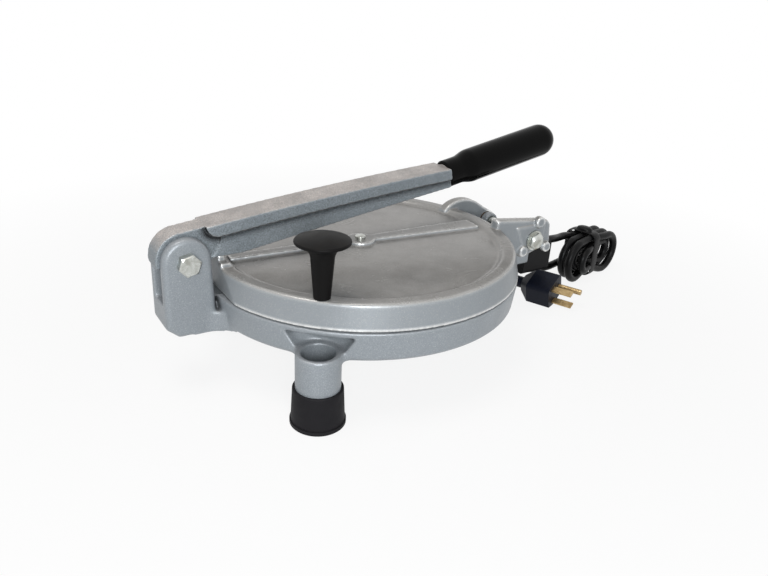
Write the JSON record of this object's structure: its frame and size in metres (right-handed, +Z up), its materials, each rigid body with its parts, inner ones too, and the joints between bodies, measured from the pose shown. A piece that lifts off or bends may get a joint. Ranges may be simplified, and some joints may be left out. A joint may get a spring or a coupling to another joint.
{
  "type": "electric tortilla press",
  "caption": "Bench-top electric tortilla press: round cast base on booted feet, hinged heated lid with a lifting knob, and a long gripped lever pivoted in a forked tower.",
  "frame": {"origin": "on the table under the middle of the press, cord left out", "axes": "+X from the lever's tower towards the lid's hinge and the grip's end, +Z up, lifting knob on the -Y side"},
  "size_m": [0.4553, 0.2314, 0.1518],
  "materials": {
    "cast_silver": "hammered satin silver",
    "plate_aluminium": "turned",
    "zinc_steel": "zinc plated",
    "bronze": "oiled",
    "black_rubber": "matt",
    "knob_black": "matt moulded",
    "grip_black": "glossy dipped",
    "box_black": "moulded",
    "cord_black": "semi-matt",
    "plug_navy": "moulded",
    "brass": "plain",
    "element_steel": "oxidised",
    "ceramic_white": "matt"
  },
  "bodies": {
    "base": {"base_casting": "cast_silver", "lower_platen": "plate_aluminium", "pivot_bolt": "zinc_steel", "pivot_washer": "zinc_steel", "pivot_nut": "zinc_steel", "hinge_bolt": "zinc_steel", "hinge_washers": "zinc_steel", "hinge_nut": "zinc_steel", "platen_screw": "zinc_steel", "cover_screws": "zinc_steel", "box_screws": "zinc_steel", "foot_boots": "black_rubber", "terminal_box": "box_black", "terminal_cover": "box_black", "cord_gland": "box_black", "supply_lead": "cord_black", "cord_hank": "cord_black", "plug_lead": "cord_black", "cord_tie": "cord_black", "plug_body": "plug_navy", "plug_prongs": "brass", "terminal_screws": "brass", "lower_element": "element_steel", "lower_insulation": "ceramic_white", "terminal_block": "ceramic_white"},
    "lever": {"lever_arm": "cast_silver", "lever_bush": "bronze", "lever_grip": "grip_black"},
    "lid": {"lid_casting": "cast_silver", "lid_screw": "zinc_steel", "lift_knob": "knob_black", "knob_stud": "zinc_steel", "upper_platen": "plate_aluminium", "upper_element": "element_steel", "upper_insulation": "ceramic_white", "hinge_bushes": "bronze"}
  },
  "joints": [
    {"name": "lever_swing", "type": "hinge", "parent": "base", "child": "lever", "pos_m": [-0.1526, 0, 0.0915], "axis": [0, -1, 0], "range_deg": [0, 140]},
    {"name": "lid_lift", "type": "hinge", "parent": "base", "child": "lid", "pos_m": [0.1229, 0, 0.0685], "axis": [0, 1, 0], "range_deg": [0, 11.2]}
  ],
  "couplings": [
    {"joint": "lid_lift", "follows": "lever_swing", "ratio": 0.08}
  ]
}
